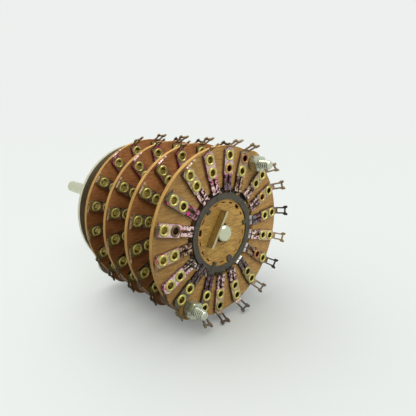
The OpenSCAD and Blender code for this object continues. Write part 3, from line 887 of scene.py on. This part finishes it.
@dataclass(frozen=True)
class StockFinish(Finish):
    """Plain metal or brown non-metal stock with turning or brush marks, stains, paler edges that are partly
    rubbed and partly painted highlight, and rim faces that can be painted lighter as lit.
    """

    base: Colour
    stain: Colour
    worn_and_lit: Colour
    stretch: tuple[float, float, float]
    around: bool = False
    roughness: float = 0.35
    metallic: float = 1.0
    patch: Blotch = Blotch(0.45, 0.5, 0.66)
    stain_share: float = 0.8
    stain_dull: float = 0.14
    mark_warp: float = 0.1
    mark_share: float = 0.3
    mark_dull: float = 0.12
    mark_mm: float = 0.01
    wear_and_highlight: EdgeWearAndHighlight = EdgeWearAndHighlight(0.12)
    painted_rim_light_share: float = 0.0

    def build(self) -> bpy.types.Material:
        """Builds the stock.

        Returns:
            The material.
        """
        material, graph, shader = self.open()
        coords = graph.effect(Effect.COORDS)
        place = coords.outputs["Position"]
        grid = coords.outputs["Round"] if self.around else place
        inputs = {"Position": grid, "Stretch": self.stretch, "Warp": self.mark_warp}
        marks = graph.effect(Effect.GRAIN, inputs).outputs["Fac"]
        patch = self.patch.lay(graph, place)
        edge = self.wear_and_highlight.lay(graph)
        rim = graph.effect(Effect.RIM, {"Position": place})
        colour = graph.veil(self.base, self.stain, patch.outputs["Mask"], self.stain_share)
        colour = graph.veil(colour, self.stain, marks, self.mark_share)
        # Painted light: the rim faces are laid over with the pale edge colour, as if lit.
        colour = graph.veil(colour, self.worn_and_lit, rim.outputs["Mask"], self.painted_rim_light_share)
        # Paler edges: partly rubbed, partly painted highlight.
        colour = graph.mix(edge.outputs["Mask"], colour, self.worn_and_lit)
        graph.plug(shader.inputs["Base Color"], colour)
        dull = graph.spread(patch.outputs["Mask"], 0.0, self.stain_dull)
        rough = graph.math("ADD", graph.spread(marks, -self.mark_dull, self.mark_dull), dull)
        graph.plug(shader.inputs["Roughness"], graph.math("ADD", rough, self.roughness, clamp=True))
        shader.inputs["Metallic"].default_value = self.metallic
        self.bump(graph, shader, marks, self.mark_mm, edge.outputs["Normal"])
        return material


class FinishShelf:
    """Every finish of the switch, built once and handed out by slot name."""

    def __init__(self) -> None:
        """Builds the shared effects and all finishes."""
        EffectLibrary().build()
        self.materials: dict[str, bpy.types.Material] = {}
        for finish in self.list_finishes():
            self.materials[finish.name] = finish.build()
            LOG.info("finish %s", finish.name)

    def list_finishes(self) -> tuple[Finish, ...]:
        """Lists the finishes.

        Returns:
            The finishes, each named for its slot.
        """
        return (
            LaminateFinish(
                "wafer_laminate",
                dark=display(138, 102, 52),
                light=display(194, 153, 88),
                stain=display(126, 86, 42),
                rim_dark=display(176, 122, 52),
                rim_light=display(222, 182, 100),
                stretch=(0.35, 1.0, 2.6),
            ),
            LaminateFinish(
                "rotor_laminate",
                dark=display(122, 85, 34),
                light=display(213, 172, 86),
                stain=display(128, 90, 36),
                rim_dark=display(150, 68, 22),
                rim_light=display(190, 104, 42),
                stretch=(0.4, 1.0, 3.8),
                # The rotor's hole walls are painted black as shade.
                hole_shade_share=1.0,
                roughness=(0.30, 0.56),
            ),
            ClipFinish("clip_metal"),
            ClipFinish("common_metal"),
            EyeletFinish("eyelet_brass", outer=OUTER_EYELETS, inner=INNER_EYELETS),
            StockFinish(
                "ring_metal",
                base=display(72, 68, 56),
                stain=display(54, 50, 42),
                worn_and_lit=display(110, 106, 92),
                stretch=(0.25, 1.0, 4.0),
                around=True,
                roughness=0.5,
                metallic=0.3,
            ),
            StockFinish(
                "zinc_steel",
                base=display(204, 209, 190),
                stain=display(138, 140, 112),
                worn_and_lit=display(236, 240, 228),
                stretch=(1.2, 1.2, 1.2),
                roughness=0.28,
                metallic=0.8,
            ),
            # A darker zinc: painted shade in the thread grooves and on the washers under the nuts.
            StockFinish(
                "painted_shade_zinc",
                base=display(128, 128, 100),
                stain=display(96, 94, 70),
                worn_and_lit=display(160, 162, 138),
                stretch=(1.2, 1.2, 1.2),
                roughness=0.5,
                metallic=0.4,
            ),
            StockFinish(
                "spacer_steel",
                base=display(176, 176, 166),
                stain=display(132, 128, 112),
                worn_and_lit=display(210, 210, 202),
                stretch=(0.4, 3.0, 0.4),
                roughness=0.36,
            ),
            # A matt brown finish for the spacers between the decks.
            StockFinish(
                "spacer_brown",
                base=display(120, 92, 64),
                stain=display(92, 66, 44),
                worn_and_lit=display(150, 122, 92),
                stretch=(0.4, 3.0, 0.4),
                roughness=0.6,
                metallic=0.0,
            ),
            StockFinish(
                "shaft_steel",
                base=display(208, 209, 182),
                stain=display(170, 170, 140),
                worn_and_lit=display(230, 231, 212),
                stretch=(0.2, 5.0, 0.2),
                roughness=0.24,
                stain_share=0.3,
            ),
            # Brown patches and marks stand for the laminate reflected in the blade's faces: painted
            # reflection.
            StockFinish(
                "blade_steel",
                base=display(200, 194, 156),
                stain=display(124, 84, 40),
                worn_and_lit=display(222, 220, 194),
                stretch=(0.1, 2.2, 0.1),
                roughness=0.26,
                stain_share=0.3,
            ),
            StockFinish(
                "spring_steel",
                base=display(170, 170, 168),
                stain=display(126, 122, 112),
                worn_and_lit=display(216, 216, 212),
                stretch=(2.5, 0.5, 0.5),
                roughness=0.32,
            ),
            StockFinish(
                "plate_steel",
                base=display(160, 157, 130),
                stain=display(118, 113, 88),
                worn_and_lit=display(224, 222, 194),
                stretch=(0.7, 2.0, 0.7),
                # The plate's rim faces are painted paler, as lit from above: painted light.
                painted_rim_light_share=0.8,
                roughness=0.38,
                metallic=0.6,
                stain_share=0.4,
                wear_and_highlight=EdgeWearAndHighlight(0.25),
            ),
        )

    def dress(self, frame: dict, slots: dict[str, str]) -> None:
        """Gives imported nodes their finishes.

        Args:
            frame: the loaded frame.
            slots: slot names by node name.
        """
        for name, slot in slots.items():
            for holder in frame["nodes"][name].material_slots:
                holder.material = self.materials[slot]
            LOG.info("dressed %s as %s", name, slot)


@dataclass(frozen=True)
class ThreadProfile:
    """A screw thread along a rod."""

    radius_mm: float
    pitch_mm: float
    depth_mm: float
    flat: float = 0.12
    # dirt: the share of the thread depth past which a groove gets the darker, painted-shade finish.
    dirt: float = 0.45
    steps_round: int = 36
    steps_per_pitch: int = 12

    def radius_at(self, phase: float, fade: float) -> float:
        """Gives the radius on the thread.

        Args:
            phase: the place on one pitch, 0 to 1.
            fade: 1 where the thread is cut in full, 0 where the rod is plain.

        Returns:
            The radius in millimetres.
        """
        ridge = abs(2.0 * (phase % 1.0) - 1.0)
        cut = min(1.0, max(0.0, (ridge - self.flat) / (1.0 - 2.0 * self.flat)))
        return self.radius_mm - self.depth_mm * fade * cut

    def is_dirty(self, radius_mm: float) -> bool:
        """Tells whether a radius lies deep enough in a groove to get the painted groove shade."""
        return self.radius_mm - radius_mm > self.depth_mm * self.dirt


class RodBuilder:
    """Builds round rods and tubes, ring by ring, along the stack."""

    def __init__(self, profile: ThreadProfile) -> None:
        """Starts an empty mesh.

        Args:
            profile: the thread to cut.
        """
        self.profile = profile
        self.mesh = bmesh.new()
        self.deep: set[bmesh.types.BMVert] = set()
        self.grooves: list[bmesh.types.BMFace] = []

    def ring(
        self, centre: Vector, along_mm: float, radius_mm: float | None = None, fade: float = 1.0
    ) -> list[bmesh.types.BMVert]:
        """Adds one ring of points.

        Args:
            centre: the rod's axis at the origin plane.
            along_mm: the place along the stack.
            radius_mm: the radius of a plain ring, or None on the thread.
            fade: how deep the thread is here.

        Returns:
            The ring's points.
        """
        count = self.profile.steps_round
        points = []
        for step in range(count):
            share = step / count
            radius = radius_mm
            if radius_mm is None:
                radius = self.profile.radius_at(along_mm / self.profile.pitch_mm - share, fade)
            angle = 2.0 * math.pi * share
            offset = Vector((radius * math.cos(angle), along_mm, radius * math.sin(angle)))
            points.append(self.mesh.verts.new((centre + offset) * MM))
            if radius_mm is None and self.profile.is_dirty(radius):
                self.deep.add(points[-1])
        return points

    def skin(self, rings: list[list[bmesh.types.BMVert]], closed: bool = False) -> None:
        """Joins rings with faces.

        Args:
            rings: the rings in order.
            closed: whether the last ring joins the first, as round a tube's wall.
        """
        pairs = list(zip(rings, rings[1:]))
        if closed:
            pairs.append((rings[-1], rings[0]))
        for low, high in pairs:
            count = len(low)
            for step in range(count):
                after = (step + 1) % count
                corners = (low[step], high[step], high[after], low[after])
                face = self.mesh.faces.new(corners)
                if all(corner in self.deep for corner in corners):
                    self.grooves.append(face)
        if not closed:
            self.mesh.faces.new(rings[0])
            self.mesh.faces.new(tuple(reversed(rings[-1])))

    def finish(self, name: str, material: bpy.types.Material, groove: bpy.types.Material) -> bpy.types.Object:
        """Turns the mesh into an object.

        Args:
            name: the object's name.
            material: its finish.
            groove: the finish in the thread's grooves.

        Returns:
            The object, linked to the scene.
        """
        bmesh.ops.recalc_face_normals(self.mesh, faces=self.mesh.faces)
        for face in self.grooves:
            face.material_index = 1
        data = bpy.data.meshes.new(name)
        self.mesh.to_mesh(data)
        self.mesh.free()
        for polygon in data.polygons:
            polygon.use_smooth = len(polygon.vertices) == 4
        data.set_sharp_from_angle(angle=math.radians(SHARP_DEG))
        data.materials.append(material)
        data.materials.append(groove)
        piece = bpy.data.objects.new(name, data)
        bpy.context.scene.collection.objects.link(piece)
        return piece


@dataclass
class TieFrame:
    """The two tie studs with their spacers, washers and nuts."""

    stud_d_mm: float = 3.5
    thread_pitch_mm: float = 0.85
    thread_depth_mm: float = 0.4
    stud_length_mm: float = 63.8
    thread_length_mm: float = 13.0
    run_out_pitches: float = 2.0
    bevel_mm: float = 0.4
    tip_mm: float = 0.05
    tip_bevel_mm: float = 0.15

    def build(self, frame: dict, shelf: FinishShelf) -> None:
        """Builds the threaded studs and dresses the rest.

        Args:
            frame: the loaded frame.
            shelf: the finishes.
        """
        slots = {
            "front_spacers": "spacer_brown",
            "deck_spacers": "spacer_brown",
            # The washers under the nuts get the darker zinc as painted shade.
            "stud_washers": "painted_shade_zinc",
            "stud_nuts": "zinc_steel",
        }
        shelf.dress(frame, slots)
        studs = self.build_studs(shelf.materials["zinc_steel"], shelf.materials["painted_shade_zinc"])
        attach(studs, Body.STACK.value)
        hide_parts("tie_studs")
        LOG.info("built %s", studs.name)

    def build_studs(self, material: bpy.types.Material, groove: bpy.types.Material) -> bpy.types.Object:
        """Builds both studs with their rear threads.

        Args:
            material: the studs' finish.
            groove: the finish in the thread's grooves.

        Returns:
            The studs as one object.
        """
        radius = self.stud_d_mm / 2.0
        profile = ThreadProfile(radius, self.thread_pitch_mm, self.thread_depth_mm)
        builder = RodBuilder(profile)
        start = self.stud_length_mm - self.thread_length_mm
        end = self.stud_length_mm - self.bevel_mm
        step = self.thread_pitch_mm / profile.steps_per_pitch
        count = int((end - start) / step)
        for angle in STUD_ANGLES_DEG:
            turn = math.radians(angle)
            centre = Vector((-math.sin(turn), 0.0, math.cos(turn))) * STUD_CIRCLE_MM
            rings = [builder.ring(centre, along, radius) for along in (0.0, start)]
            for index in range(1, count + 1):
                fade = min(1.0, index / (self.run_out_pitches * profile.steps_per_pitch))
                rings.append(builder.ring(centre, start + index * step, fade=fade))
            tip = radius - self.bevel_mm
            rings.append(builder.ring(centre, self.stud_length_mm - self.tip_mm, tip))
            rings.append(builder.ring(centre, self.stud_length_mm, tip - self.tip_bevel_mm))
            builder.skin(rings)
        return builder.finish("tie_stud_threads", material, groove)


@dataclass
class IndexHead:
    """The index plate, its threaded bushing and the detent parts behind it."""

    bushing_d_mm: float = 9.525
    bore_mm: float = 3.215
    barrel_mm: float = 9.5
    shoulder_mm: float = 5.3625
    flange_mm: float = 7.0625
    plate_mm: float = 1.6
    flange_t_mm: float = 1.2
    thread_pitch_mm: float = 0.79
    thread_depth_mm: float = 0.42
    thread_steps: int = 56
    plain_pitches: float = 2.0
    bevel_mm: float = 0.45

    def build(self, frame: dict, shelf: FinishShelf) -> None:
        """Builds the threaded bushing and dresses the rest.

        Args:
            frame: the loaded frame.
            shelf: the finishes.
        """
        slots = {
            "index_plate": "plate_steel",
            "index_arm": "spacer_steel",
            "index_balls": "shaft_steel",
            "index_spring": "spring_steel",
            "index_hub": "spacer_steel",
        }
        shelf.dress(frame, slots)
        bushing = self.build_bushing(shelf.materials["zinc_steel"], shelf.materials["painted_shade_zinc"])
        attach(bushing, Body.STACK.value)
        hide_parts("bushing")
        LOG.info("built %s", bushing.name)

    def build_bushing(self, material: bpy.types.Material, groove: bpy.types.Material) -> bpy.types.Object:
        """Builds the bushing as a tube with a threaded barrel.

        Args:
            material: the bushing's finish.
            groove: the finish in the thread's grooves.

        Returns:
            The bushing.
        """
        radius = self.bushing_d_mm / 2.0
        sizes = (radius, self.thread_pitch_mm, self.thread_depth_mm)
        profile = ThreadProfile(*sizes, steps_round=self.thread_steps)
        builder = RodBuilder(profile)
        axis = Vector((0.0, 0.0, 0.0))
        step = self.thread_pitch_mm / profile.steps_per_pitch
        front = -self.barrel_mm
        end = -self.plain_pitches * self.thread_pitch_mm
        count = int((end - front - self.bevel_mm) / step)
        rings = [builder.ring(axis, front, size) for size in (self.bore_mm, radius - self.bevel_mm)]
        for index in range(count + 1):
            fade = min(1.0, (count - index) / profile.steps_per_pitch)
            rings.append(builder.ring(axis, front + self.bevel_mm + index * step, fade=fade))
        rear = self.plate_mm + self.flange_t_mm
        for along, size in (
            (end, radius),
            (0.0, radius),
            (0.0, self.shoulder_mm),
            (self.plate_mm, self.shoulder_mm),
            (self.plate_mm, self.flange_mm),
            (rear, self.flange_mm),
            (rear, self.bore_mm),
        ):
            rings.append(builder.ring(axis, along, size))
        builder.skin(rings, closed=True)
        return builder.finish("bushing_thread", material, groove)


@dataclass
class Deck:
    """One wafer with its clips, eyelets, rotor disc and contact ring."""

    number: int

    def build(self, frame: dict, shelf: FinishShelf) -> None:
        """Dresses the pieces of the deck.

        Args:
            frame: the loaded frame.
            shelf: the finishes.
        """
        slots = {
            "stator_wafer": "wafer_laminate",
            "terminal_clips": "clip_metal",
            "common_clip": "common_metal",
            "clip_backs": "clip_metal",
            "eyelets": "eyelet_brass",
            "rotor_disc": "rotor_laminate",
            "rotor_ring": "ring_metal",
        }
        shelf.dress(frame, {f"{stem}_{self.number}": slot for stem, slot in slots.items()})


@dataclass
class Drive:
    """The shaft, its retaining ring and the flat drive blade."""

    def build(self, frame: dict, shelf: FinishShelf) -> None:
        """Dresses the drive pieces.

        Args:
            frame: the loaded frame.
            shelf: the finishes.
        """
        slots = {
            "shaft": "shaft_steel",
            "drive_blade": "blade_steel",
            "retaining_ring": "spring_steel",
        }
        shelf.dress(frame, slots)


@dataclass(frozen=True)
class Lamp:
    """A square lamp near the switch, turned to the last deck's middle."""

    name: str
    watts: float
    size: float
    place: tuple[float, float, float]
    aim: tuple[float, float, float] = (0.0, 0.0556, 0.0)
    mirrored: bool = False

    def build(self, lit: bpy.types.Collection) -> None:
        """Builds the lamp, which lights the switch and leaves the floor to the dome.

        Args:
            lit: the objects that it lights.
        """
        data = bpy.data.lights.new(self.name, "AREA")
        data.energy = self.watts
        data.size = self.size
        lamp = bpy.data.objects.new(self.name, data)
        lamp.location = self.place
        turn = Vector(self.aim) - Vector(self.place)
        lamp.rotation_euler = turn.to_track_quat("-Z", "Y").to_euler()
        lamp.light_linking.receiver_collection = lit
        lamp.visible_glossy = self.mirrored
        bpy.context.scene.collection.objects.link(lamp)
        LOG.info("built the lamp %s", self.name)


@dataclass
class Studio:
    """A pale floor, a soft dome of light from above and small lamps beside the rear end."""

    floor_radius: float = 2.0
    floor_sides: int = 96
    floor_gap: float = 0.00005
    floor_colour: Colour = display(237, 242, 238)
    floor_roughness: float = 0.5
    bounce_colour: Colour = display(106, 106, 104)
    view_colour: Colour = display(237, 240, 238)
    dome_low: float = 0.07
    dome_high: float = 1.70
    dome_power: float = 1.6
    dome_lean: tuple[float, float, float] = (0.68, -0.72, 0.0)
    lamps: tuple[Lamp, ...] = (
        Lamp("key", 0.17, 0.08, (-0.034, 0.160, 0.138), mirrored=True),
        Lamp("fill", 0.048, 0.06, (-0.047, 0.124, -0.032)),
    )
    fade_start: float = 0.5
    fade_end: float = 1.5
    fade_least: float = 0.12

    def build(self, pieces: list[bpy.types.Object]) -> None:
        """Builds floor, world and lamps.

        Args:
            pieces: the objects that the lamps light.
        """
        self.build_floor()
        self.build_world()
        lit = bpy.data.collections.new("lamp_lit")
        for piece in pieces:
            lit.objects.link(piece)
        for lamp in self.lamps:
            lamp.build(lit)
        LOG.info("built the studio")

    def build_floor(self) -> None:
        """Builds the floor under the lowest lug, fading into the surround far away."""
        low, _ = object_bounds()
        mesh = bmesh.new()
        bmesh.ops.create_circle(mesh, cap_ends=True, segments=self.floor_sides, radius=self.floor_radius)
        data = bpy.data.meshes.new("floor")
        mesh.to_mesh(data)
        mesh.free()
        floor = bpy.data.objects.new("floor", data)
        floor.location.z = low[2] - self.floor_gap
        bpy.context.scene.collection.objects.link(floor)
        data.materials.append(self.floor_material())
        floor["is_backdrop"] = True

    def seen(self, graph: Graph) -> bpy.types.NodeSocket:
        """Marks rays that show the surround itself: straight to the camera, in metal or through glass.

        Args:
            graph: the graph to wire.

        Returns:
            1 for such a ray, 0 for light on the object.
        """
        path = graph.add("LightPath")
        seen = graph.math("MAXIMUM", path.outputs["Is Camera Ray"], path.outputs["Is Glossy Ray"])
        return graph.math("MAXIMUM", seen, path.outputs["Is Transmission Ray"])

    def floor_material(self) -> bpy.types.Material:
        """Builds the floor's matt finish, pale to the eye and duller as a source of bounced light.

        Returns:
            The material.
        """
        material = bpy.data.materials.new("floor_paper")
        material.use_nodes = True
        graph = Graph(material.node_tree)
        place = graph.add("TexCoord").outputs["Object"]
        bounce = graph.add("BsdfDiffuse", {"Color": self.bounce_colour})
        look = {"Base Color": self.floor_colour, "Roughness": self.floor_roughness}
        pale = graph.add("BsdfPrincipled", look)
        paper = graph.add("MixShader", {0: self.seen(graph), 1: bounce.outputs[0], 2: pale.outputs[0]})
        far = graph.add("Emission", {"Color": self.view_colour, "Strength": 1.0})
        distance = graph.add("VectorMath", {0: place}, operation="LENGTH").outputs["Value"]
        fade = graph.spread(graph.step(distance, self.fade_start, self.fade_end), self.fade_least, 1.0)
        fade = graph.math("MULTIPLY", fade, self.seen(graph))
        blend = graph.add("MixShader", {0: fade, 1: paper.outputs[0], 2: far.outputs[0]})
        out = graph.add("OutputMaterial")
        graph.plug(out.inputs["Surface"], blend.outputs[0])
        return material

    def build_world(self) -> None:
        """Builds the surround: white to the eye and in metal, a dome that is brightest overhead as light."""
        world = bpy.data.worlds.new("studio")
        world.use_nodes = True
        bpy.context.scene.world = world
        graph = Graph(world.node_tree)
        way = graph.add("TexCoord").outputs["Generated"]
        _, _, up = graph.parts(way)
        lean = graph.add("VectorMath", {0: way, 1: self.dome_lean}, operation="DOT_PRODUCT").outputs["Value"]
        dome = graph.math("POWER", graph.math("MAXIMUM", up, 0.0), self.dome_power)
        dome = graph.math("MULTIPLY", dome, graph.math("ADD", lean, 1.0))
        strength = graph.math("ADD", graph.math("MULTIPLY", dome, self.dome_high), self.dome_low)
        light = graph.add("Background", {"Color": (1.0, 1.0, 1.0), "Strength": strength})
        view = graph.add("Background", {"Color": self.view_colour, "Strength": 1.0})
        blend = graph.add("MixShader", {0: self.seen(graph), 1: light.outputs[0], 2: view.outputs[0]})
        out = graph.add("OutputWorld")
        graph.plug(out.inputs["Surface"], blend.outputs[0])


@dataclass
class PhotoCamera:
    """The camera at the photograph's place."""

    place_mm: tuple[float, float, float] = (95.55, 146.0, 43.21)
    pitch_deg: float = 14.44
    heading_deg: float = 135.75
    lens_mm: float = 32.43
    near_m: float = 0.01

    def build(self) -> None:
        """Builds the camera and makes it the scene's."""
        data = bpy.data.cameras.new("photo_camera")
        data.lens = self.lens_mm
        data.clip_start = self.near_m
        camera = bpy.data.objects.new("photo_camera", data)
        camera.location = Vector(self.place_mm) * MM
        tilt = math.radians(90.0 - self.pitch_deg)
        camera.rotation_euler = Euler((tilt, 0.0, math.radians(self.heading_deg)))
        bpy.context.scene.collection.objects.link(camera)
        bpy.context.scene.camera = camera
        LOG.info("built the camera")


def main() -> None:
    """Builds the switch's looks in order."""
    logging.basicConfig(level=logging.INFO, format="%(name)s: %(message)s")
    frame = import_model()
    bpy.context.scene.view_settings.view_transform = "Standard"
    shelf = FinishShelf()
    IndexHead().build(frame, shelf)
    TieFrame().build(frame, shelf)
    for number in DECKS:
        Deck(number).build(frame, shelf)
    Drive().build(frame, shelf)
    Studio().build([piece for piece in bpy.data.objects if piece.type == "MESH"])
    PhotoCamera().build()


if __name__ == "__main__":
    main()
